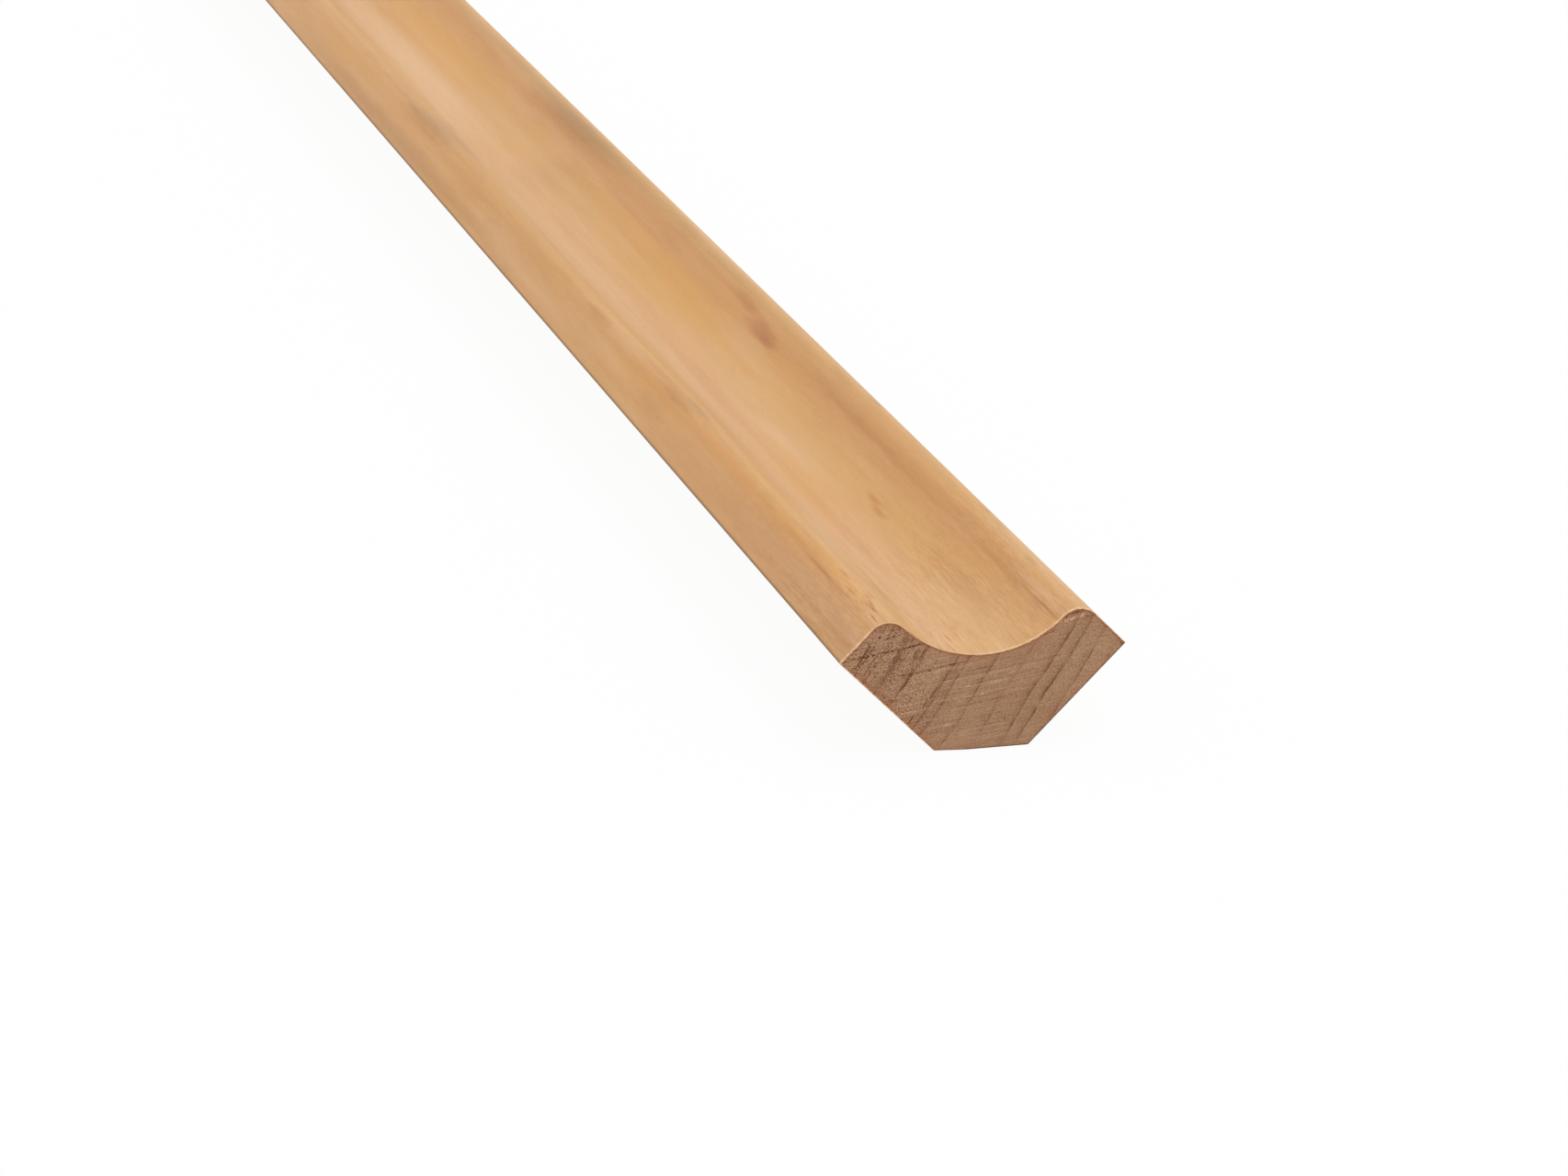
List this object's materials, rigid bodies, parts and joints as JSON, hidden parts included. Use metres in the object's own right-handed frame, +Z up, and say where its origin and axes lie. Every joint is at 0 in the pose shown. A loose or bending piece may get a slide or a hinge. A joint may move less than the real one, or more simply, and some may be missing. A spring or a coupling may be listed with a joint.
{
  "type": "sauna moulding",
  "caption": "Long wooden cove moulding for inside corners: a hollow front between rounded lips, wall faces at right angles to each other and a planed back flat.",
  "frame": {"origin": "middle of the back flat's width, halfway along the length", "axes": "+X across the section, +Y along the length, +Z up from the back flat to the hollow front"},
  "size_m": [0.0396, 2.1, 0.0186],
  "materials": {
    "alder": "matte"
  },
  "bodies": {
    "root": {"cove_moulding": "alder"}
  },
  "joints": []
}
